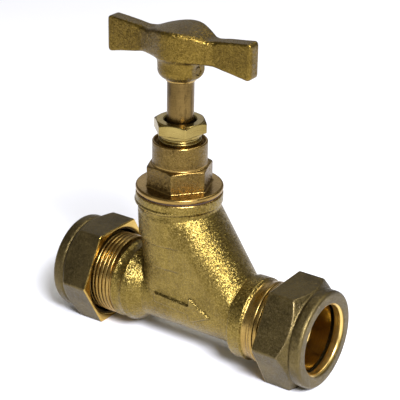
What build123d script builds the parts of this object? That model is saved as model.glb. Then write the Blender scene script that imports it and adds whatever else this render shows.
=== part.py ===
"""Screw-down stop valve, 22 mm, with compression ends and a crutch handle.

Frame: +X runs with the flow along the pipe centreline, +Z up the spindle, and
the origin is the mouth of the inlet pipe socket. The valve is drawn open.
Screw threads are plain cylinders, the male at its root and the female at its
crest, so that each turns freely in the other.
"""
from build123d import *
import os
from math import cos, radians, sin

os.makedirs("parts", exist_ok=True)

# ---- pipe line ----------------------------------------------------------------
spindle_x = 30.0            # spindle axis, from the inlet socket mouth
outlet_mouth_x = 74.5       # mouth of the outlet socket
socket_r = 11.15            # takes a 22 mm pipe with a clearance of 0.15
socket_depth = 13.5
mouth_flare = 1.5           # 45 degree seat for the olive
thread_root_r = 13.3        # male thread of the body ends
run_r = 10.4                # outside of the pipe run between the collars
waterway_r = 8.8            # bore behind each pipe stop
inlet_thread_start = spindle_x - 18.0
outlet_thread_start = spindle_x + 35.0
outlet_collar_start = spindle_x + 27.6
outlet_collar_end = spindle_x + 32.9
cove_x = [0.2, 2.1, 3.7]    # hollow behind the inlet thread, from its start
cove_r = [13.9, 13.2, 13.4]
inlet_collar_x = [4.0, 4.4]
inlet_cone_x = 10.0         # where the cone behind the collar meets the run
collar_r = 13.7
groove_r = 12.9             # relief between the outlet collar and its thread

# ---- body neck, chamber and seat ------------------------------------------------
body_top_z = 36.75
neck_ring_r = 14.1          # thick ring under the washer
neck_ring_z = 33.1
neck_top_r = 13.45
neck_step_z = [22.0, 13.6]  # two small steps down the front of the neck
neck_step_r = [13.05, 12.1]
cast_top_r = 12.9           # top of the sloping casting that joins neck and run
cast_top_shift = -0.45      # its centre from the spindle axis
cast_top_z = 33.0
cast_left = 11.5            # reach of the casting at pipe height, either side
cast_right = 36.4           # of the spindle
bonnet_bore_r = 11.75
bonnet_bore_z = 27.5
chamber_r = 10.8
chamber_z = 20.0
seat_well_r = 9.3
seat_floor_z = 8.5
seat_lip = 0.8
orifice_r = 6.5
under_seat_r = 7.0          # inlet passage below the seat
under_seat_z = -1.5
under_seat_end = 7.5        # how far past the spindle it runs
outlet_port_r = 6.5         # sloping passage from the chamber to the outlet
outlet_port_start = (6.3, 20.0)
outlet_port_slope = (15.5, 0, -13.5)
outlet_port_length = 30.0
outlet_waterway_start = spindle_x + 22.0

# ---- headwork -------------------------------------------------------------------
washer_r = 13.6
flange_r = 14.1
flange_z = 37.25            # underside of the bonnet flange
flange_t = 1.65
bonnet_thread_r = 11.6
bonnet_bottom_z = 28.0
bonnet_hex_af = 19.0
bonnet_hex_turn = -9.3      # angle of one corner from +X, modulo 60
bonnet_hex_z = 46.0
bonnet_barrel_r = 8.85
bonnet_top_z = 53.9
stem_thread_bore_r = 6.0
stem_hole_r = 4.4
stem_hole_z = 43.0
stuffing_floor_z = 45.0
stuffing_r = 7.0
bonnet_mouth_r = 8.2        # wide end of the bevel at the top of the barrel

# ---- spindle and jumper -----------------------------------------------------------
travel = 8.0                # lift of the jumper from shut to open
spindle_head_r = 6.5
spindle_head_top = 27.6
stem_thread_r = 5.85
stem_thread_top = 42.5
stem_r = 4.3
stem_shoulder_z = 80.0      # the square for the handle starts here
stem_square = 6.0
stem_top_z = 87.5
guide_hole_r = 3.15         # hole up the spindle for the jumper's pin
guide_hole_depth = 9.5
jumper_pin_r = 3.0
jumper_pin_length = 8.0
jumper_r = 8.0
jumper_plate_t = 1.9
jumper_gap = 0.1
jumper_washer_t = 3.0
jumper_stud_r = 2.0
jumper_nut_af = 7.0
jumper_nut_t = 2.2
spindle_bottom_z = (
    seat_floor_z + seat_lip + travel + jumper_washer_t + jumper_plate_t + jumper_gap
)

# ---- gland ------------------------------------------------------------------------
packing_inner_r = 4.35
packing_outer_r = 6.9
packing_t = 1.1
follower_t = 1.0
gland_bottom_z = 49.4
gland_shank_r = 6.85
gland_neck_r = 6.2          # relief between the thread and the hexagon
gland_shoulder_r = 7.15
gland_hex_af = 15.3
gland_hex_turn = -44.1
gland_hex_z = [57.0, 60.8]
gland_bore_r = 4.5
gland_mouth_r = 5.0
gland_mouth_depth = 4.5

# ---- compression nuts and olives ----------------------------------------------------
nut_af = 32.0
nut_length = 15.6
nut_hex_length = 11.2
nut_chamfer_r = 15.6        # where the conical chamfer leaves the end of the hexagon
nut_chamfer_slope = 0.786   # its length for each unit of radius
nut_collar_r = 15.9
nut_engagement = {"inlet": 6.5, "outlet": 5.9}   # thread of the body inside each nut
nut_thread_r = 14.45
nut_mouth_r = 15.1
nut_thread_depth = 11.1
nut_cone_r = 12.9
nut_bore_r = 11.3
olive_bore_r = 11.1
olive_ridge_r = 12.3
olive_end_r = 11.7
olive_length = 6.3

# ---- handle -----------------------------------------------------------------------
handle_turn = 1.5           # bar angle from the pipe line when open
bar_half = 26.3             # half the span of the bar
bar_t = 5.2
bar_end_z = [78.4, 90.4]    # bottom and top of the bar at its ends
bar_waist_z = 81.4          # bottom of the bar at its middle, inside the hub
dip_x = 10.5                # where the top of the bar dips beside the hub
dip_z = 88.7
swell_x = 12.5              # where the faces of the bar start to swell into the hub
hub_r = 8.6
hub_top_z = 90.9
cup_r = 7.3
cup_bottom_z = 73.6
bead_r = 4.95
socket_gap = 0.05           # handle bore and square over the stem
pin_r = 1.25
pin_clearance = 0.05
pin_z = 77.6
pin_half = 6.3
pin_flat_x = 6.4            # flats on the hub that the pin hole is drilled from
pin_flat_top = 80.2

spindle_axis = Axis((spindle_x, 0, 0), (0, 0, 1))
handle_plane = Plane(
    origin=(spindle_x, 0, 0),
    x_dir=(cos(radians(handle_turn)), sin(radians(handle_turn)), 0),
    z_dir=(0, 0, 1),
)
bar_front = Plane(origin=(spindle_x, 0, 0), x_dir=handle_plane.x_dir, z_dir=-handle_plane.y_dir)
pin_plane = Plane(origin=(spindle_x, 0, pin_z), z_dir=handle_plane.x_dir)


def save(part, name):
    part.label = name
    export_step(part, "parts/" + name + ".step")


def level(z):
    """Plane across the spindle at height z."""
    return Plane.XY.offset(z).move(Location((spindle_x, 0, 0)))


def upright(profile):
    """Points (radius, height) about the spindle, as points of the XZ plane."""
    return [(spindle_x + r, z) for r, z in profile]


def turned_ring(outer_r, inner_r, bottom_z, thickness, edge=0.0):
    """A flat ring about the spindle with its outer edges broken."""
    with BuildPart() as ring:
        with BuildSketch(level(bottom_z)):
            Circle(outer_r)
            Circle(inner_r, mode=Mode.SUBTRACT)
        extrude(amount=thickness)
        if edge:
            outside = ring.edges().filter_by(GeomType.CIRCLE).sort_by(SortBy.RADIUS)[-2:]
            chamfer(outside, length=edge)
    return ring.part


# ---- body: one brass casting with turned ends -----------------------------------------
with BuildPart() as body:
    # sloping casting between the neck and the pipe run
    run_slot = 2 * run_r
    slot_span = cast_left + cast_right - run_slot
    slot_centre = spindle_x + (cast_right - cast_left) / 2
    with BuildSketch(Plane.XY):
        with Locations((slot_centre, 0)):
            SlotCenterToCenter(slot_span, run_slot)
    with BuildSketch(Plane.XY.offset(cast_top_z)):
        with Locations((spindle_x + cast_top_shift, 0)):
            SlotCenterToCenter(0.4, 2 * cast_top_r)
    loft(ruled=True)
    with BuildSketch(Plane.YZ.offset(outlet_collar_start + 0.5)):
        Rectangle(80, 120)
    extrude(amount=40, mode=Mode.SUBTRACT)
    # pipe run
    with BuildSketch(Plane.YZ.offset(inlet_thread_start)):
        Circle(run_r)
    extrude(amount=outlet_collar_end - inlet_thread_start)
    # thread, cove, collar and cone on the inlet side
    with BuildSketch(Plane.XZ):
        with BuildLine():
            Line((-mouth_flare, 0), (-mouth_flare, thread_root_r - 0.8))
            Line((-mouth_flare, thread_root_r - 0.8), (-mouth_flare + 0.8, thread_root_r))
            Line((-mouth_flare + 0.8, thread_root_r), (inlet_thread_start, thread_root_r))
            cove = [(inlet_thread_start + x, r) for x, r in zip(cove_x, cove_r)]
            Line((inlet_thread_start, thread_root_r), cove[0])
            ThreePointArc(*cove)
            Polyline(
                cove[2],
                (inlet_thread_start + inlet_collar_x[0], collar_r),
                (inlet_thread_start + inlet_collar_x[1], collar_r),
                (inlet_thread_start + inlet_collar_x[1] + 0.4, collar_r - 0.3),
                (inlet_thread_start + inlet_cone_x, run_r),
                (inlet_thread_start + inlet_cone_x, 0),
                (-mouth_flare, 0),
            )
        make_face()
    revolve(axis=Axis.X)
    # collar, relief groove and thread on the outlet side
    outlet_face = outlet_mouth_x + mouth_flare
    with BuildSketch(Plane.XZ):
        with BuildLine():
            Polyline(
                (outlet_collar_start, 0),
                (outlet_collar_start, collar_r - 0.5),
                (outlet_collar_start + 0.5, collar_r),
                (outlet_collar_end - 0.5, collar_r),
                (outlet_collar_end, groove_r),
                (outlet_thread_start - 0.4, groove_r),
                (outlet_thread_start, thread_root_r),
                (outlet_face - 0.8, thread_root_r),
                (outlet_face, thread_root_r - 0.8),
                (outlet_face, 0),
                close=True,
            )
        make_face()
    revolve(axis=Axis.X)
    # neck with its two steps and the thick ring at the top
    with BuildSketch(Plane.XZ):
        with BuildLine():
            Polyline(
                *upright([
                    (0, neck_step_z[1]),
                    (neck_step_r[1], neck_step_z[1]),
                    (neck_step_r[0] - 0.45, neck_step_z[0]),
                    (neck_step_r[0], neck_step_z[0]),
                    (neck_top_r, neck_ring_z),
                    (neck_ring_r, neck_ring_z + 0.4),
                    (neck_ring_r, body_top_z - 0.3),
                    (neck_ring_r - 0.3, body_top_z),
                    (0, body_top_z),
                ]),
                close=True,
            )
        make_face()
    revolve(axis=spindle_axis)
    # chamber, seat well and seat lip
    with BuildSketch(Plane.XZ):
        with BuildLine():
            Polyline(
                *upright([
                    (0, seat_floor_z),
                    (0, body_top_z + 1),
                    (bonnet_bore_r, body_top_z + 1),
                    (bonnet_bore_r, bonnet_bore_z),
                    (chamber_r, bonnet_bore_z - 0.6),
                    (chamber_r, chamber_z),
                    (seat_well_r, chamber_z - 1.5),
                    (seat_well_r, seat_floor_z),
                    (orifice_r + 1.3, seat_floor_z),
                    (orifice_r + 1.0, seat_floor_z + seat_lip),
                    (orifice_r, seat_floor_z + seat_lip),
                    (orifice_r, seat_floor_z),
                ]),
                close=True,
            )
        make_face()
    revolve(axis=spindle_axis, mode=Mode.SUBTRACT)
    with BuildSketch(level(under_seat_z)):
        Circle(orifice_r)
    extrude(amount=seat_floor_z - under_seat_z + 0.5, mode=Mode.SUBTRACT)
    # inlet side: socket with its flared mouth, waterway, passage under the seat
    with BuildSketch(Plane.XZ):
        with BuildLine():
            Polyline(
                (-mouth_flare - 1, 0),
                (-mouth_flare - 1, socket_r + mouth_flare + 1),
                (0, socket_r),
                (socket_depth, socket_r),
                (socket_depth, waterway_r),
                (inlet_thread_start + 6, waterway_r),
                (inlet_thread_start + 6, 0),
                close=True,
            )
        make_face()
    revolve(axis=Axis.X, mode=Mode.SUBTRACT)
    with BuildSketch(Plane.YZ.offset(inlet_thread_start + 5)):
        with Locations((0, under_seat_z)):
            Circle(under_seat_r)
    extrude(amount=spindle_x + under_seat_end - inlet_thread_start - 5, mode=Mode.SUBTRACT)
    # outlet side: sloping port out of the chamber, waterway, socket
    port_origin = (spindle_x + outlet_port_start[0], 0, outlet_port_start[1])
    with BuildSketch(Plane(origin=port_origin, z_dir=outlet_port_slope)):
        Circle(outlet_port_r)
    extrude(amount=outlet_port_length, mode=Mode.SUBTRACT)
    with BuildSketch(Plane.XZ):
        with BuildLine():
            Polyline(
                (outlet_face + 1, 0),
                (outlet_face + 1, socket_r + mouth_flare + 1),
                (outlet_mouth_x, socket_r),
                (outlet_mouth_x - socket_depth, socket_r),
                (outlet_mouth_x - socket_depth, waterway_r),
                (outlet_waterway_start, waterway_r),
                (outlet_waterway_start, 0),
                close=True,
            )
        make_face()
    revolve(axis=Axis.X, mode=Mode.SUBTRACT)
save(body.part, "body")

# ---- fibre washer between body and bonnet ---------------------------------------------
body_washer = turned_ring(washer_r, bonnet_thread_r + 0.25, body_top_z, flange_z - body_top_z)
save(body_washer, "body_washer")

# ---- bonnet -------------------------------------------------------------------------
with BuildPart() as bonnet:
    hex_bottom = flange_z + flange_t
    with BuildSketch(level(hex_bottom)):
        RegularPolygon(bonnet_hex_af / 2, 6, major_radius=False, rotation=bonnet_hex_turn)
    extrude(amount=bonnet_hex_z - hex_bottom)
    fillet(bonnet.edges().filter_by(Axis.Z), radius=0.6)
    # chamfer round the top of the hexagon
    with BuildSketch(Plane.XZ):
        with BuildLine():
            Polyline(
                *upright([
                    (bonnet_hex_af / 2 - 0.1, bonnet_hex_z + 0.01),
                    (bonnet_hex_af / 2 + 3, bonnet_hex_z + 0.01),
                    (bonnet_hex_af / 2 + 3, bonnet_hex_z - 1.0),
                ]),
                close=True,
            )
        make_face()
    revolve(axis=spindle_axis, mode=Mode.SUBTRACT)
    # screwed end, flange and barrel
    with BuildSketch(Plane.XZ):
        with BuildLine():
            Polyline(
                *upright([
                    (0, bonnet_bottom_z),
                    (bonnet_thread_r - 0.6, bonnet_bottom_z),
                    (bonnet_thread_r, bonnet_bottom_z + 0.6),
                    (bonnet_thread_r, flange_z),
                    (flange_r - 0.2, flange_z),
                    (flange_r, flange_z + 0.3),
                    (flange_r, hex_bottom - 0.4),
                    (flange_r - 0.4, hex_bottom),
                    (bonnet_barrel_r, hex_bottom),
                    (bonnet_barrel_r, bonnet_top_z - 0.3),
                    (bonnet_barrel_r - 0.3, bonnet_top_z),
                    (0, bonnet_top_z),
                ]),
                close=True,
            )
        make_face()
    revolve(axis=spindle_axis)
    # stem thread, stem hole and stuffing box
    with BuildSketch(Plane.XZ):
        with BuildLine():
            Polyline(
                *upright([
                    (0, bonnet_bottom_z - 1),
                    (stem_thread_bore_r + 1.8, bonnet_bottom_z - 1),
                    (stem_thread_bore_r, bonnet_bottom_z + 0.8),
                    (stem_thread_bore_r, stem_hole_z),
                    (stem_hole_r, stem_hole_z + 0.8),
                    (stem_hole_r, stuffing_floor_z),
                    (stuffing_r, stuffing_floor_z),
                    (stuffing_r, bonnet_top_z - 1.5),
                    (bonnet_mouth_r - 0.5, bonnet_top_z - 1.0),
                    (bonnet_mouth_r, bonnet_top_z + 0.01),
                    (0, bonnet_top_z + 0.01),
                ]),
                close=True,
            )
        make_face()
    revolve(axis=spindle_axis, mode=Mode.SUBTRACT)
save(bonnet.part, "bonnet")

# ---- packing rings and gland follower ---------------------------------------------------
for number, ring_name in enumerate(["packing_ring_lower", "packing_ring_middle", "packing_ring_upper"]):
    ring_z = stuffing_floor_z + number * packing_t
    save(turned_ring(packing_outer_r, packing_inner_r, ring_z, packing_t, 0.15), ring_name)
follower_z = stuffing_floor_z + 3 * packing_t
save(turned_ring(packing_outer_r - 0.05, gland_bore_r, follower_z, follower_t, 0.15), "gland_follower")

# ---- gland nut ---------------------------------------------------------------------------
with BuildPart() as gland_nut:
    with BuildSketch(level(gland_hex_z[0])):
        RegularPolygon(gland_hex_af / 2, 6, major_radius=False, rotation=gland_hex_turn)
    extrude(amount=gland_hex_z[1] - gland_hex_z[0])
    fillet(gland_nut.edges().filter_by(Axis.Z), radius=0.4)
    # the top of the hexagon is chamfered
    with BuildSketch(Plane.XZ):
        with BuildLine():
            Polyline(
                *upright([
                    (gland_hex_af / 2 - 0.2, gland_hex_z[1] + 0.01),
                    (gland_hex_af / 2 + 2, gland_hex_z[1] + 0.01),
                    (gland_hex_af / 2 + 2, gland_hex_z[1] - 1.25),
                ]),
                close=True,
            )
        make_face()
    revolve(axis=spindle_axis, mode=Mode.SUBTRACT)
    with BuildSketch(Plane.XZ):
        with BuildLine():
            Polyline(
                *upright([
                    (0, gland_bottom_z),
                    (gland_shank_r - 0.5, gland_bottom_z),
                    (gland_shank_r, gland_bottom_z + 0.5),
                    (gland_shank_r, gland_hex_z[0] - 2.5),
                    (gland_neck_r, gland_hex_z[0] - 2.1),
                    (gland_neck_r, gland_hex_z[0] - 1.5),
                    (gland_shoulder_r - 0.2, gland_hex_z[0] - 1.3),
                    (gland_shoulder_r, gland_hex_z[0] - 0.2),
                    (gland_shoulder_r, gland_hex_z[0] + 0.2),
                    (0, gland_hex_z[0] + 0.2),
                ]),
                close=True,
            )
        make_face()
    revolve(axis=spindle_axis)
    with BuildSketch(Plane.XZ):
        with BuildLine():
            Polyline(
                *upright([
                    (0, gland_bottom_z - 1),
                    (gland_bore_r, gland_bottom_z - 1),
                    (gland_bore_r, gland_hex_z[1] - gland_mouth_depth),
                    (gland_mouth_r, gland_hex_z[1] - gland_mouth_depth + 0.8),
                    (gland_mouth_r, gland_hex_z[1] - 0.4),
                    (gland_mouth_r + 1.4, gland_hex_z[1] + 1),
                    (0, gland_hex_z[1] + 1),
                ]),
                close=True,
            )
        make_face()
    revolve(axis=spindle_axis, mode=Mode.SUBTRACT)
save(gland_nut.part, "gland_nut")

# ---- spindle -----------------------------------------------------------------------------
with BuildPart() as spindle:
    with BuildSketch(Plane.XZ):
        with BuildLine():
            Polyline(
                *upright([
                    (guide_hole_r, spindle_bottom_z),
                    (spindle_head_r - 0.4, spindle_bottom_z),
                    (spindle_head_r, spindle_bottom_z + 0.4),
                    (spindle_head_r, spindle_head_top - 0.4),
                    (spindle_head_r - 0.4, spindle_head_top),
                    (stem_thread_r, spindle_head_top),
                    (stem_thread_r, stem_thread_top - 0.8),
                    (stem_thread_r - 0.8, stem_thread_top),
                    (stem_r, stem_thread_top),
                    (stem_r, stem_shoulder_z),
                    (0, stem_shoulder_z),
                    (0, spindle_bottom_z + guide_hole_depth + 1.5),
                    (guide_hole_r, spindle_bottom_z + guide_hole_depth),
                ]),
                close=True,
            )
        make_face()
    revolve(axis=spindle_axis)
    # square end that drives the handle
    with BuildSketch(handle_plane.offset(stem_shoulder_z)):
        Rectangle(stem_square, stem_square)
    extrude(amount=stem_top_z - stem_shoulder_z)
    # cross hole for the handle pin
    with BuildSketch(pin_plane):
        Circle(pin_r + pin_clearance)
    extrude(amount=2 * pin_half, both=True, mode=Mode.SUBTRACT)
save(spindle.part, "spindle")

# ---- jumper, its washer and its nut --------------------------------------------------------
plate_top = spindle_bottom_z - jumper_gap
plate_bottom = plate_top - jumper_plate_t
washer_bottom = plate_bottom - jumper_washer_t
stud_bottom = washer_bottom - jumper_nut_t - 0.3
with BuildPart() as jumper:
    with BuildSketch(Plane.XZ):
        with BuildLine():
            Polyline(
                *upright([
                    (0, stud_bottom),
                    (jumper_stud_r - 0.3, stud_bottom),
                    (jumper_stud_r, stud_bottom + 0.3),
                    (jumper_stud_r, plate_bottom),
                    (jumper_r, plate_bottom),
                    (jumper_r, plate_top - 0.4),
                    (jumper_r - 0.4, plate_top),
                    (jumper_pin_r, plate_top),
                    (jumper_pin_r, plate_top + jumper_pin_length - 0.5),
                    (jumper_pin_r - 0.5, plate_top + jumper_pin_length),
                    (0, plate_top + jumper_pin_length),
                ]),
                close=True,
            )
        make_face()
    revolve(axis=spindle_axis)
save(jumper.part, "jumper")

jumper_washer = turned_ring(jumper_r + 0.2, jumper_stud_r + 0.1, washer_bottom, jumper_washer_t, 0.2)
save(jumper_washer, "jumper_washer")

with BuildPart() as jumper_nut:
    with BuildSketch(level(washer_bottom - jumper_nut_t)):
        RegularPolygon(jumper_nut_af / 2, 6, major_radius=False)
        Circle(jumper_stud_r + 0.05, mode=Mode.SUBTRACT)
    extrude(amount=jumper_nut_t)
save(jumper_nut.part, "jumper_nut")


# ---- compression nuts and olives, one pair for each end --------------------------------------
def compression_nut(inner_x, outward):
    """Nut whose open thread end is at inner_x and whose pipe end points outward."""
    def along(profile):
        return [(inner_x + outward * s, r) for s, r in profile]

    with BuildPart() as nut:
        with BuildSketch(Plane.YZ.offset(inner_x)):
            RegularPolygon(nut_af / 2, 6, major_radius=False)
        extrude(amount=outward * nut_hex_length)
        fillet(nut.edges().filter_by(Axis.X), radius=1.0)
        # conical chamfer towards the pipe end
        with BuildSketch(Plane.XZ):
            with BuildLine():
                Polyline(
                    *along([
                        (nut_hex_length + 0.01, nut_chamfer_r),
                        (nut_hex_length + 0.01, nut_af),
                        (nut_hex_length - nut_chamfer_slope * (nut_af - nut_chamfer_r), nut_af),
                    ]),
                    close=True,
                )
            make_face()
        revolve(axis=Axis.X, mode=Mode.SUBTRACT)
        # round collar at the pipe end
        with BuildSketch(Plane.XZ):
            with BuildLine():
                Polyline(
                    *along([
                        (nut_hex_length - 1, 0),
                        (nut_hex_length - 1, nut_collar_r - 0.35),
                        (nut_hex_length + 0.4, nut_collar_r - 0.35),
                        (nut_hex_length + 1.0, nut_collar_r),
                        (nut_length - 0.9, nut_collar_r),
                        (nut_length - 0.25, nut_collar_r - 0.3),
                        (nut_length, nut_collar_r - 0.9),
                        (nut_length, 0),
                    ]),
                    close=True,
                )
            make_face()
        revolve(axis=Axis.X)
        # thread, olive cone and pipe hole
        cone_end = nut_thread_depth + nut_cone_r - nut_bore_r
        with BuildSketch(Plane.XZ):
            with BuildLine():
                Polyline(
                    *along([
                        (-1, 0),
                        (-1, nut_mouth_r + 0.35),
                        (0.65, nut_mouth_r - 0.1),
                        (0.65, nut_thread_r),
                        (nut_thread_depth, nut_thread_r),
                        (nut_thread_depth, nut_cone_r),
                        (cone_end, nut_bore_r),
                        (nut_length - 0.9, nut_bore_r),
                        (nut_length, nut_bore_r + 1.0),
                        (nut_length + 1, nut_bore_r + 1.0),
                        (nut_length + 1, 0),
                    ]),
                    close=True,
                )
            make_face()
        revolve(axis=Axis.X, mode=Mode.SUBTRACT)
    return nut.part


def olive(first_x, outward):
    """Barrel-shaped brass ring that the nut squeezes on to the pipe."""
    def along(profile):
        return [(first_x + outward * s, r) for s, r in profile]

    ends = along([(0, olive_bore_r), (0, olive_end_r), (olive_length, olive_end_r),
                  (olive_length, olive_bore_r), (olive_length / 2, olive_ridge_r)])
    with BuildPart() as ring:
        with BuildSketch(Plane.XZ):
            with BuildLine():
                Line(ends[0], ends[1])
                ThreePointArc(ends[1], ends[4], ends[2])
                Line(ends[2], ends[3])
                Line(ends[3], ends[0])
            make_face()
        revolve(axis=Axis.X)
    return ring.part


olive_seat = olive_end_r - socket_r + 0.05     # where the end of the olive meets the flare
for name, mouth_x, outward in (("inlet", 0.0, -1), ("outlet", outlet_mouth_x, 1)):
    face_x = mouth_x + outward * mouth_flare
    save(compression_nut(face_x - outward * nut_engagement[name], outward), name + "_nut")
    save(olive(mouth_x + outward * olive_seat, outward), name + "_olive")

# ---- crutch handle and its pin -----------------------------------------------------------
with BuildPart() as handle:
    # bow-tie bar, seen from the front, with the domed top of the hub between its wings
    with BuildSketch(bar_front):
        with BuildLine():
            ThreePointArc((-bar_half, bar_end_z[0]), (0, bar_waist_z), (bar_half, bar_end_z[0]))
            Line((bar_half, bar_end_z[0]), (bar_half, bar_end_z[1]))
            Line((bar_half, bar_end_z[1]), (dip_x, dip_z))
            ThreePointArc((dip_x, dip_z), (0, hub_top_z), (-dip_x, dip_z))
            Line((-dip_x, dip_z), (-bar_half, bar_end_z[1]))
            Line((-bar_half, bar_end_z[1]), (-bar_half, bar_end_z[0]))
        make_face()
        corners = vertices().group_by(Axis.X)
        fillet(corners[0] + corners[-1], radius=1.3)
    extrude(amount=2 * hub_r, both=True)
    # seen from above its faces swell into the hub
    with BuildSketch(handle_plane.offset(bar_end_z[0] - 1)):
        Circle(hub_r)
        with Locations((swell_x, 0), (-swell_x, 0)):
            Circle(bar_t / 2)
        make_hull()
        Rectangle(2 * bar_half, bar_t)
        ends = vertices().group_by(Axis.X)
        fillet(ends[0] + ends[-1], radius=1.1)
    extrude(amount=bar_end_z[1] - bar_end_z[0] + 2, mode=Mode.INTERSECT)
    # round hub like an upturned cup, with a bead round the stem
    with BuildSketch(Plane.XZ):
        with BuildLine():
            bead = upright([
                (0, cup_bottom_z),
                (bead_r - 0.3, cup_bottom_z),
                (bead_r, cup_bottom_z + 0.3),
                (bead_r, cup_bottom_z + 0.7),
                (bead_r + 0.1, cup_bottom_z + 0.9),
            ])
            cup = upright([
                (cup_r - 0.65, cup_bottom_z + 1.9),
                (cup_r, cup_bottom_z + 4.2),
                (cup_r + 0.2, bar_waist_z),
                (hub_r, dip_z),
                (0, dip_z),
            ])
            Polyline(*bead)
            ThreePointArc(bead[-1], cup[0], cup[1])
            Polyline(*cup[1:], bead[0])
        make_face()
    revolve(axis=spindle_axis)
    # flats that the pin hole is drilled from
    with BuildSketch(handle_plane.offset(cup_bottom_z - 1)):
        for side in (-1, 1):
            with Locations((side * (pin_flat_x + 5), 0)):
                Rectangle(10, 12)
    extrude(amount=pin_flat_top - cup_bottom_z + 1, mode=Mode.SUBTRACT)
    # bore and square for the stem, and the pin hole
    with BuildSketch(level(cup_bottom_z - 1)):
        Circle(stem_r + socket_gap)
    extrude(amount=stem_shoulder_z + socket_gap - cup_bottom_z + 1, mode=Mode.SUBTRACT)
    with BuildSketch(handle_plane.offset(stem_shoulder_z)):
        Rectangle(stem_square + 2 * socket_gap, stem_square + 2 * socket_gap)
    extrude(amount=stem_top_z + 0.3 - stem_shoulder_z, mode=Mode.SUBTRACT)
    with BuildSketch(pin_plane):
        Circle(pin_r + pin_clearance)
    extrude(amount=2 * pin_half, both=True, mode=Mode.SUBTRACT)
save(handle.part, "handle")

with BuildPart() as handle_pin:
    with BuildSketch(pin_plane):
        Circle(pin_r)
    extrude(amount=pin_half, both=True)
    chamfer(handle_pin.edges(), length=0.2)
save(handle_pin.part, "handle_pin")
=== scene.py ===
"""Looks of the 22 mm screw-down stop valve: blasted and turned brass on a pale floor.

Lengths are in metres in the frame of the part: +X along the pipe, +Z up the
spindle, and the origin at the mouth of the inlet socket.
"""
import math
import bmesh
import bpy
from mathutils import Matrix, Vector


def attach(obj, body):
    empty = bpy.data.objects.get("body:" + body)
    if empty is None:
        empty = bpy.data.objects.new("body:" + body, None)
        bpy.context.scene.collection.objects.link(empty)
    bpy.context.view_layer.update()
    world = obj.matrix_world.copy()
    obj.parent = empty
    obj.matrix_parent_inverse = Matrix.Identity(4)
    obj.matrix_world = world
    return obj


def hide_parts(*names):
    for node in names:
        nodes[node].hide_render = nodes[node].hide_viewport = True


MM = 0.001
SPINDLE_X = 30.0                # spindle axis, mm from the inlet socket mouth
THREAD_ROOT = 13.4              # pipe-end threads, mm: radius at the root,
THREAD_CREST = 13.6             # radius at the crest,
THREAD_PITCH = 1.5              # pitch,
INLET_THREAD = (-1.5, 12.0)     # and where each starts and ends along the pipe
OUTLET_THREAD = (65.0, 76.0)
NUTS_MIDDLE = 37.55             # half-way between the two compression nuts, mm
NUT_FACE = 32.9                 # from there to each nut's face towards the body, mm
BORE_R = 11.7                   # inside this radius the sockets are clean metal, mm
FACET = 0.27                    # facets of the blasted skin, mm across
FLOOR_Z = -16.02                # just under the flats of the two nuts, mm

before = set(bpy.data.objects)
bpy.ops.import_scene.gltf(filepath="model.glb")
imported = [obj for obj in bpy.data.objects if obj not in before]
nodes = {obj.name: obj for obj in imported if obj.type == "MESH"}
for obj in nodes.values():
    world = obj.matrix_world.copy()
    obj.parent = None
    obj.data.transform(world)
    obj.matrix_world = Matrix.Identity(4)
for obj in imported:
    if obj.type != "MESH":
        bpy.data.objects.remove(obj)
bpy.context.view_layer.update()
scene = bpy.context.scene


# ---- meshes ---------------------------------------------------------------------------
def link(name, data):
    made = bpy.data.objects.new(name, data)
    scene.collection.objects.link(made)
    return made


def apply_modifiers(piece):
    graph = bpy.context.evaluated_depsgraph_get()
    mesh = bpy.data.meshes.new_from_object(piece.evaluated_get(graph))
    piece.modifiers.clear()
    piece.data = mesh


def raise_by_relief(mesh, relief):
    """Moves points out of the face by relief(point), and marks the foot of each step, where painted
    shade and dirt go.
    """
    reach, full_step = 0.4, 0.2
    heights = [relief(v.co / MM) for v in mesh.vertices]
    foot_dirt_and_shade = mesh.attributes.new("foot_dirt_and_shade", "FLOAT", "POINT")
    for i, v in enumerate(mesh.vertices):
        at = v.co / MM
        around = [relief(at + Vector(offset)) for offset in
                  ((reach, 0, 0), (-reach, 0, 0), (0, 0, reach), (0, 0, -reach))]
        foot_dirt_and_shade.data[i].value = min(1.0, max(0.0, (max(around) - heights[i]) / full_step))
    moves = [v.normal * height * MM for v, height in zip(mesh.vertices, heights)]
    for v, move in zip(mesh.vertices, moves):
        v.co += move


def softened(node, name, body, voxel, passes, flowing=None, relief=None):
    """A copy of a CAD node with its edges rounded as a casting's or a worn nut's are.

    voxel (mm) and passes set how far the edges are rounded.
    flowing is (weight of a point, passes): more rounding in one zone of the piece.
    relief gives how far a point stands proud of the CAD face, in mm.
    """
    mesh = nodes[node].data.copy()
    build = bmesh.new()
    build.from_mesh(mesh)
    bmesh.ops.remove_doubles(build, verts=build.verts, dist=1e-6)
    build.to_mesh(mesh)
    build.free()
    mesh.materials.clear()
    piece = link(name, mesh)
    remesh = piece.modifiers.new("remesh", "REMESH")
    remesh.mode = "VOXEL"
    remesh.voxel_size = voxel * MM
    smooth = piece.modifiers.new("smooth", "SMOOTH")
    smooth.factor = 0.5
    smooth.iterations = passes
    apply_modifiers(piece)
    if flowing:
        weight, more = flowing
        zone = piece.vertex_groups.new(name="zone")
        for v in piece.data.vertices:
            share = weight(v.co / MM)
            if share > 0:
                zone.add([v.index], share, "REPLACE")
        smooth = piece.modifiers.new("flow", "SMOOTH")
        smooth.factor = 0.5
        smooth.iterations = more
        smooth.vertex_group = "zone"
        apply_modifiers(piece)
    if relief:
        raise_by_relief(piece.data, relief)
    piece.data.shade_smooth()
    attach(piece, body)
    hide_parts(node)
    return piece


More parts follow.
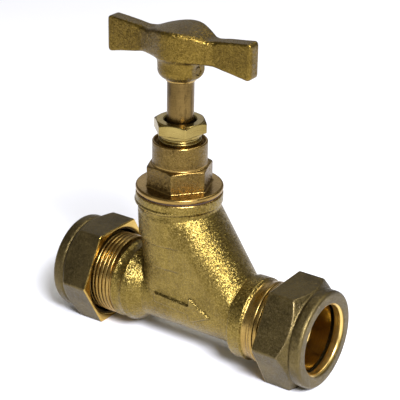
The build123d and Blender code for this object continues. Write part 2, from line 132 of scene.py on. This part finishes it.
def screw_ridge(name, span):
    """The helical ridge of a right-handed thread round a pipe end of the body."""
    steps = 72                      # sections in each turn
    run_out = steps * 0.35          # sections over which the ridge rises and dies away
    section = [(-0.5, 0.0), (-0.3, 0.55), (-0.12, 0.95), (0.12, 0.95), (0.3, 0.55), (0.5, 0.0)]
    total = int((span[1] - span[0] - THREAD_PITCH) / THREAD_PITCH * steps)
    build = bmesh.new()
    rings = []
    for i in range(total + 1):
        fade = min(1.0, i / run_out, (total - i) / run_out)
        angle = 2 * math.pi * i / steps
        centre = span[0] + THREAD_PITCH / 2 + THREAD_PITCH * i / steps
        ring = []
        for offset, height in section:
            r = THREAD_ROOT + (THREAD_CREST - THREAD_ROOT) * height * fade
            point = (centre + offset * THREAD_PITCH, r * math.cos(angle), r * math.sin(angle))
            ring.append(build.verts.new(Vector(point) * MM))
        rings.append(ring)
    for a, b in zip(rings, rings[1:]):
        for k in range(len(section)):
            m = (k + 1) % len(section)
            build.faces.new((a[k], a[m], b[m], b[k]))
    build.faces.new(rings[0])
    build.faces.new(rings[-1])
    bmesh.ops.recalc_face_normals(build, faces=build.faces)
    mesh = bpy.data.meshes.new(name)
    build.to_mesh(mesh)
    build.free()
    mesh.shade_smooth()
    piece = link(name, mesh)
    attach(piece, "valve_body")
    return piece


def ramp(value, start, end):
    """0 before start, 1 after end, and straight between them."""
    return min(1.0, max(0.0, (value - start) / (end - start)))


def arrow_relief(at):
    """Height of the flow arrow raised on the front of the run."""
    tail_x, tail_z, tilt = 28.0, 2.0, math.radians(-4)
    shaft, half_shaft = 13.5, 1.7
    head, half_head = 8.0, 4.6
    height, edge = 0.75, 0.35
    front_y = -6
    if at.y > front_y:
        return 0.0
    dx, dz = at.x - tail_x, at.z - tail_z
    along = dx * math.cos(tilt) + dz * math.sin(tilt)
    across = abs(dz * math.cos(tilt) - dx * math.sin(tilt))
    if along <= shaft:
        inside = min(along, half_shaft - across)
    else:
        lean = math.atan2(half_head, head)
        inside = (half_head * (1 - (along - shaft) / head) - across) * math.cos(lean)
        inside = min(inside, along - shaft)
    if along > shaft - 1 and across < half_shaft:
        inside = max(inside, min(half_shaft - across, shaft + head / 3 - along))
    return height * ramp(inside, -edge / 2, edge / 2)


def neck_relief(at):
    """Height of the two bands cast round the inlet side of the neck, less its slimming.

    around is in degrees from the outlet side, and 180 is the inlet side.
    """
    x, y = at.x - SPINDLE_X, at.y
    chamber_r = 10.5
    if math.hypot(x, y) < chamber_r or not 6 < at.z < 34:
        return 0.0
    around = abs(math.degrees(math.atan2(y, x)))
    lower = 0.35 * ramp(at.z, 13.4, 13.9) * ramp(around, 51, 60 + max(0.0, at.z - 21) * 1.5)
    upper = 0.40 * ramp(at.z, 21.8, 22.3) * (1 - ramp(at.z, 30.5, 32.5)) * ramp(around, 52, 66)
    slim = 0.75 * ramp(around, 75, 125) * ramp(at.z, 6, 12) * (1 - ramp(at.z, 31.5, 33))
    return lower + upper - slim


def shoulder_relief(at):
    """Rounds out the cone between the inlet thread and the run."""
    start, end, run_r = 16.2, 21.8, 10.5
    if not start < at.x < end or math.hypot(at.y, at.z) < run_r:
        return 0.0
    return 0.35 * ramp(at.x, start, 18.0) * (1 - ramp(at.x, 18.4, end)) * (1 - ramp(at.z, 6, 10))


def body_relief(at):
    return arrow_relief(at) + neck_relief(at) + shoulder_relief(at)


def hub_zone(at):
    """The hub of the handle and its run-out, above the cup, and less of it on the wings."""
    away = abs(at.x - SPINDLE_X)
    near = 1 - ramp(away, 13.0, 17.0)
    above = ramp(at.z, 78.5, 80.5)
    return max(near * above, 0.2 * ramp(away, 9, 12))


body = softened("body", "valve_body_casting", "valve_body", 0.27, 4,
                relief=body_relief)
handle = softened("handle", "crutch_handle", "spindle_set", 0.2, 10,
                  flowing=(hub_zone, 160))
inlet_nut = softened("inlet_nut", "inlet_compression_nut", "inlet_screw", 0.24, 6)
outlet_nut = softened("outlet_nut", "outlet_compression_nut", "outlet_screw", 0.24, 6)
bonnet = softened("bonnet", "bonnet_headwork", "valve_body", 0.2, 3)
gland = softened("gland_nut", "gland_nut_body", "gland_screw", 0.14, 3)
inlet_thread = screw_ridge("inlet_thread", INLET_THREAD)
outlet_thread = screw_ridge("outlet_thread", OUTLET_THREAD)


# ---- materials ---------------------------------------------------------------------------
class Shader:
    """Builds one node material from the object's own coordinates."""

    def __init__(self, name):
        self.material = bpy.data.materials.new(name)
        self.material.use_nodes = True
        self.tree = self.material.node_tree
        self.tree.nodes.clear()
        self.at = self.add("TexCoord").outputs["Object"]

    def add(self, kind, inputs=None, **settings):
        node = self.tree.nodes.new("ShaderNode" + kind)
        for key, value in settings.items():
            setattr(node, key, value)
        for key, value in (inputs or {}).items():
            if isinstance(value, bpy.types.NodeSocket):
                self.tree.links.new(value, node.inputs[key])
            else:
                node.inputs[key].default_value = value
        return node

    def math(self, operation, a, b=0.0, c=0.0):
        return self.add("Math", {0: a, 1: b, 2: c}, operation=operation).outputs[0]

    def vector(self, operation, a, b=None, c=None):
        inputs = {k: v for k, v in enumerate((a, b, c)) if v is not None}
        return self.add("VectorMath", inputs, operation=operation).outputs[0]

    def split(self):
        return self.add("SeparateXYZ", {0: self.at}).outputs

    def noise(self, size, detail=2.0, roughness=0.5):
        """Grey noise whose features are about size mm across."""
        inputs = {"Vector": self.at, "Scale": 1 / (size * MM),
                  "Detail": detail, "Roughness": roughness}
        return self.add("TexNoise", inputs).outputs["Fac"]

    def remap(self, value, low, high, to_low=0.0, to_high=1.0):
        inputs = {"Value": value, "From Min": low, "From Max": high,
                  "To Min": to_low, "To Max": to_high}
        return self.add("MapRange", inputs, interpolation_type="SMOOTHSTEP").outputs["Result"]

    # a Mix node has its own two inputs and its own output for each kind of data
    def mix(self, share, a, b):
        return self.add("Mix", {0: share, 6: a, 7: b}, data_type="RGBA").outputs[2]

    def blend(self, share, a, b):
        return self.add("Mix", {0: share, 2: a, 3: b}, data_type="FLOAT").outputs[0]

    def blend_normals(self, share, a, b):
        return self.add("Mix", {0: share, 4: a, 5: b}, data_type="VECTOR").outputs[1]

    def radius(self, axis):
        """Distance from the pipe's or the spindle's centreline, and distance along it."""
        x, y, z = self.split()
        if axis == "X":
            along, one, two = x, y, z
        else:
            along, one, two = z, self.math("SUBTRACT", x, SPINDLE_X * MM), y
        squares = self.math("MULTIPLY_ADD", one, one, self.math("MULTIPLY", two, two))
        return self.math("SQRT", squares), along

    def bump(self, height, strength, depth, under=None):
        """Normals of a surface whose height varies by depth mm, laid over those of under."""
        inputs = {"Height": height, "Strength": strength, "Distance": depth * MM}
        if under is not None:
            inputs["Normal"] = under
        return self.add("Bump", inputs).outputs[0]

    def finish(self, colour, roughness, normal, metallic=1.0, specular=0.5):
        shader = self.add("BsdfPrincipled", {
            "Base Color": colour, "Roughness": roughness, "Metallic": metallic,
            "Specular IOR Level": specular, "Normal": normal})
        self.add("OutputMaterial", {"Surface": shader.outputs[0]})
        return self.material


def srgb(red, green, blue):
    """The linear colour of an sRGB one given in 0 to 255."""
    def linear(c):
        c = c / 255
        return c / 12.92 if c <= 0.04045 else ((c + 0.055) / 1.055) ** 2.4
    return (linear(red), linear(green), linear(blue), 1.0)


def scaled(colour, *gains):
    """The colour with its red, green and blue multiplied by gains (one for all, or three)."""
    if len(gains) == 1:
        gains = gains * 3
    return tuple(min(1.0, c * gain) for c, gain in zip(colour, gains)) + (1.0,)


def cast_skin(s, finish, broad, middle, sparkle, speck_and_glint, worn):
    """Blasted brass: a patchwork of small facets, lighter where an edge is worn, with painted glints
    on some facets and painted shade with dirt in the hollows.
    """
    dark, light, low_rough, high_rough = finish
    fine = s.noise(0.5, 3, 0.7)
    facets = s.add("TexVoronoi", {"Vector": s.at, "Scale": 1 / (FACET * MM)}).outputs["Color"]
    tone = s.math("MULTIPLY_ADD", middle, 0.4, s.math("MULTIPLY", broad, 0.6))
    colour = s.mix(s.remap(tone, 0.35, 0.65), dark, light)
    # painted shade, with dirt, in the hollows and at the foot of the relief, and dark facets
    pick = s.add("SeparateColor", {0: facets}).outputs
    bend = s.add("NewGeometry").outputs["Pointiness"]
    foot_dirt_and_shade = s.add("Attribute", attribute_name="foot_dirt_and_shade").outputs["Fac"]
    dirt_and_shade = s.math("MULTIPLY", s.math("MAXIMUM", s.remap(bend, 0.495, 0.44), foot_dirt_and_shade), 0.6)
    pit = s.math("MULTIPLY", s.remap(pick[1], 0.4, 1.0), speck_and_glint)
    colour = s.mix(s.math("MAXIMUM", pit, dirt_and_shade), colour, scaled(dark, 0.30))
    # bright worn metal on the edges, and painted glints: bright, whiter facets in place of the
    # sparkle of light
    edge = s.remap(bend, 0.505, 0.56)
    painted_glint = s.math("MULTIPLY", s.remap(pick[0], 0.4, 1.0), speck_and_glint)
    wear_and_painted_glint = s.math("MAXIMUM", painted_glint, s.math("MULTIPLY", edge, worn))
    colour = s.mix(wear_and_painted_glint, colour, scaled(light, 1.9, 1.95, 2.9))
    rough = s.remap(fine, 0.3, 0.7, low_rough, high_rough)
    rough = s.math("SUBTRACT", rough, s.math("MULTIPLY", edge, 0.12 * worn))
    # the grain, and then the lean of each facet
    normal = s.bump(middle, 0.6, 0.12, under=s.bump(fine, 1.0, 0.12))
    lean = s.vector("SUBTRACT", facets, (0.5, 0.5, 0.5))
    normal = s.vector("MULTIPLY_ADD", lean, (sparkle, sparkle, sparkle), normal)
    return colour, rough, s.vector("NORMALIZE", normal)


def turned_metal(s, finish, broad, middle, axis, bore, stain):
    """Turned brass, with rings left by the tool round the axis."""
    dark, light, low_rough, high_rough = finish
    r, along = s.radius(axis)
    ring = s.add("TexNoise", {"W": s.math("ADD", r, along), "Scale": 1 / (0.16 * MM), "Detail": 2.0},
                 noise_dimensions="1D").outputs["Fac"]
    colour = s.mix(s.remap(s.blend(0.5, ring, broad), 0.35, 0.65), dark, light)
    rough = s.remap(s.blend(0.5, middle, ring), 0.3, 0.7, low_rough, high_rough)
    if bore:
        inner = s.remap(r, (BORE_R + 0.2) * MM, BORE_R * MM)
        colour = s.mix(inner, colour, bore)
        rough = s.math("MULTIPLY_ADD", inner, 0.14, rough)
    if stain:
        stretched = s.vector("MULTIPLY", s.at, (1.0, 1.0, 0.22))
        patch = s.add("TexNoise", {"Vector": stretched, "Scale": 1 / (1.6 * MM),
                                   "Detail": 4.0, "Roughness": 0.65}).outputs["Fac"]
        mark = s.math("MULTIPLY", s.remap(patch, 0.48, 0.66), stain)
        colour = s.mix(mark, colour, scaled(dark, 0.3))
        rough = s.math("MULTIPLY_ADD", mark, 0.15, rough)
    normal = s.bump(middle, 0.3, 0.03, under=s.bump(ring, 0.55, 0.018))
    return colour, rough, normal


def brass(name, cast, turned, mask=None, axis="Z", sparkle=0.6, speck_and_glint=0.3, worn=0.5,
          bore=None, stain=0.0):
    """Blasted brass, turned brass, or the two divided by mask.

    cast and turned are (dark colour, light colour, low roughness, high roughness).
    sparkle is how far the small facets left by blasting lean out of the surface,
    speck_and_glint is how much they differ in colour, as dark specks and painted
    glints, and worn is how bright the edges are.
    bore is the colour of turned metal inside a socket. stain darkens turned metal
    in long patches.
    """
    s = Shader(name)
    broad = s.noise(9, 3)
    middle = s.noise(1.6, 3, 0.6)
    if not cast:
        return s.finish(*turned_metal(s, turned, broad, middle, axis, bore, stain))
    share = mask(s)
    cast_colour, cast_rough, skin = cast_skin(s, cast, broad, middle, sparkle, speck_and_glint, worn)
    turned_colour, turned_rough, rings = turned_metal(s, turned, broad, middle, axis, bore, stain)
    return s.finish(s.mix(share, cast_colour, turned_colour),
                    s.blend(share, cast_rough, turned_rough),
                    s.blend_normals(share, skin, rings))


def body_turned(s):
    """Where the body is machined: both ends, the relief groove and the top face."""
    x, y, z = s.split()
    inlet = s.remap(x, 12.4 * MM, 11.8 * MM)
    outlet = s.remap(x, 62.8 * MM, 63.1 * MM)
    top = s.remap(z, 36.3 * MM, 36.6 * MM)
    return s.math("MAXIMUM", s.math("MAXIMUM", inlet, outlet), top)


def nut_turned(s):
    """Where a compression nut is machined: its bore, and its face towards the body."""
    r, along = s.radius("X")
    bore = s.remap(r, 12.1 * MM, 11.8 * MM)
    from_middle = s.math("ABSOLUTE", s.math("SUBTRACT", along, NUTS_MIDDLE * MM))
    face = s.remap(from_middle, (NUT_FACE + 0.1) * MM, (NUT_FACE - 0.1) * MM)
    return s.math("MAXIMUM", bore, face)


def handle_turned(s):
    """Where the handle is machined: the bead that sits round the stem."""
    along = s.split()[2]
    return s.remap(along, 74.6 * MM, 74.3 * MM)


def bonnet_turned(s):
    """Where the bonnet is machined: flange, the faces round the barrel, lip and bore."""
    r, along = s.radius("Z")
    flange = s.remap(along, 39.3 * MM, 39.0 * MM)
    above = s.remap(along, 45.6 * MM, 45.8 * MM)
    below = s.remap(along, 46.8 * MM, 46.5 * MM)
    ledge = s.math("MULTIPLY", above, below)
    lip = s.remap(along, 53.3 * MM, 53.6 * MM)
    bore = s.remap(r, 8.3 * MM, 8.1 * MM)
    return s.math("MAXIMUM", s.math("MAXIMUM", flange, ledge), s.math("MAXIMUM", lip, bore))


# brass finishes: dark colour, light colour, low roughness, high roughness
cast_body = (srgb(109, 91, 40), srgb(136, 116, 56), 0.24, 0.36)
cast_nut = (srgb(78, 67, 38), srgb(104, 90, 53), 0.34, 0.50)
cast_handle = (srgb(96, 77, 31), srgb(116, 95, 39), 0.26, 0.38)
cast_bonnet = (srgb(90, 71, 34), srgb(112, 91, 45), 0.26, 0.40)
turned_gold = (srgb(142, 114, 58), srgb(180, 150, 86), 0.20, 0.36)
turned_face = (srgb(128, 102, 52), srgb(166, 136, 76), 0.20, 0.36)
turned_bore = (srgb(168, 136, 64), srgb(206, 174, 96), 0.12, 0.24)
turned_pale = (srgb(124, 106, 56), srgb(164, 144, 84), 0.18, 0.32)
turned_stem = (srgb(80, 63, 34), srgb(116, 94, 52), 0.20, 0.34)
clean_bore = srgb(222, 190, 112)

body_brass = brass("body_brass", cast_body, turned_gold, body_turned, "X",
                   sparkle=0.42, bore=clean_bore)
nut_brass = brass("nut_brass", cast_nut, turned_bore, nut_turned, "X",
                  sparkle=0.25, speck_and_glint=0.25, worn=0.9, bore=clean_bore)
handle_brass = brass("handle_brass", cast_handle, turned_gold, handle_turned, sparkle=0.4)
bonnet_brass = brass("bonnet_brass", cast_bonnet, turned_face, bonnet_turned, sparkle=0.45)
gland_brass = brass("gland_brass", None, turned_pale)
thread_brass = brass("thread_brass", None, turned_gold, axis="X")
spindle_brass = brass("spindle_brass", None, turned_stem, stain=0.5)
olive_brass = brass("olive_brass", None, turned_bore, axis="X")


def plain(name, dark, light, roughness, size, depth, metallic):
    """A mottled material whose marks are about size mm across and depth mm deep."""
    s = Shader(name)
    tone = s.noise(size, 4, 0.6)
    colour = s.mix(s.remap(tone, 0.35, 0.65), dark, light)
    rough = s.remap(tone, 0.3, 0.7, roughness - 0.08, roughness + 0.08)
    return s.finish(colour, rough, s.bump(s.noise(size / 2, 3), 0.6, depth), metallic)


fibre = plain("fibre", srgb(52, 38, 28), srgb(76, 56, 42), 0.75, 0.7, 0.08, 0.0)
packing = plain("packing", srgb(40, 40, 42), srgb(70, 70, 70), 0.6, 0.5, 0.10, 0.0)
rubber = plain("rubber", srgb(24, 24, 25), srgb(38, 38, 40), 0.55, 0.9, 0.05, 0.0)
pin_steel = plain("pin_steel", srgb(90, 73, 34), srgb(114, 94, 46), 0.38, 0.6, 0.02, 1.0)

painted = {
    body_brass: [body],
    nut_brass: [inlet_nut, outlet_nut],
    handle_brass: [handle],
    bonnet_brass: [bonnet],
    gland_brass: [gland, nodes["gland_follower"], nodes["jumper_nut"]],
    thread_brass: [inlet_thread, outlet_thread],
    spindle_brass: [nodes["spindle"], nodes["jumper"]],
    olive_brass: [nodes["inlet_olive"], nodes["outlet_olive"]],
    fibre: [nodes["body_washer"]],
    packing: [nodes["packing_ring_lower"], nodes["packing_ring_middle"],
              nodes["packing_ring_upper"]],
    rubber: [nodes["jumper_washer"]],
    pin_steel: [nodes["handle_pin"]],
}
for material, pieces in painted.items():
    for piece in pieces:
        piece.data.materials.clear()
        piece.data.materials.append(material)


# ---- floor and lights ---------------------------------------------------------------------
floor_mesh = bpy.data.meshes.new("floor")
half_floor = 4.0
corners = [(x * half_floor, y * half_floor, FLOOR_Z * MM)
           for x, y in ((-1, -1), (1, -1), (1, 1), (-1, 1))]
floor_mesh.from_pydata(corners, [], [(0, 1, 2, 3)])
floor = link("floor", floor_mesh)
paper = Shader("paper")
paper_colour = paper.mix(paper.noise(60, 2), (0.92, 0.92, 0.92, 1), (0.95, 0.95, 0.95, 1))
flat = paper.add("NewGeometry").outputs["Normal"]
floor_mesh.materials.append(paper.finish(paper_colour, 0.9, flat, metallic=0.0, specular=0.1))


def softbox(name, place, size, power, colour=(1.0, 1.0, 1.0)):
    """A square light aimed at the middle of the valve; metres and watts."""
    centre = Vector((0.037, 0.0, 0.035))
    light = bpy.data.lights.new(name, "AREA")
    light.shape = "SQUARE"
    light.size = size
    light.energy = power
    light.color = colour
    lamp = link(name, light)
    lamp.location = place
    lamp.rotation_mode = "QUATERNION"
    lamp.rotation_quaternion = (centre - Vector(place)).to_track_quat("-Z", "Y")


softbox("key", (0.69, -0.48, 0.72), 0.34, 22, (0.98, 1.0, 1.12))
softbox("overhead", (0.25, 0.70, 1.45), 0.7, 8, (1.0, 0.99, 0.96))
softbox("back_left", (-0.75, 0.95, 0.55), 0.5, 0.5)

world = bpy.data.worlds.new("room")
scene.world = world
world.use_nodes = True
backdrop = world.node_tree.nodes["Background"].inputs
backdrop["Color"].default_value = (0.52, 0.50, 0.47, 1)
backdrop["Strength"].default_value = 0.4


# ---- camera, seen from the front and a little above -----------------------------------------
azimuth, elevation, roll = (math.radians(a) for a in (34.13, 24.156, 1.035))
distance, aim = 446.1, Vector((37.962, 0, 34.973))      # mm
back = Vector((math.sin(azimuth) * math.cos(elevation),
               -math.cos(azimuth) * math.cos(elevation), math.sin(elevation)))
right = Vector((math.cos(azimuth), math.sin(azimuth), 0))
up = back.cross(right)
rolled_right = right * math.cos(roll) + up * math.sin(roll)
rolled_up = up * math.cos(roll) - right * math.sin(roll)
lens = bpy.data.cameras.new("camera")
lens.sensor_width = 36
lens.lens = 126.6
lens.clip_start, lens.clip_end = 0.01, 20
camera = link("camera", lens)
turn = Matrix((rolled_right, rolled_up, back)).transposed().to_4x4()
camera.matrix_world = Matrix.Translation((aim + back * distance) * MM) @ turn
scene.camera = camera
scene.view_settings.view_transform = "Standard"
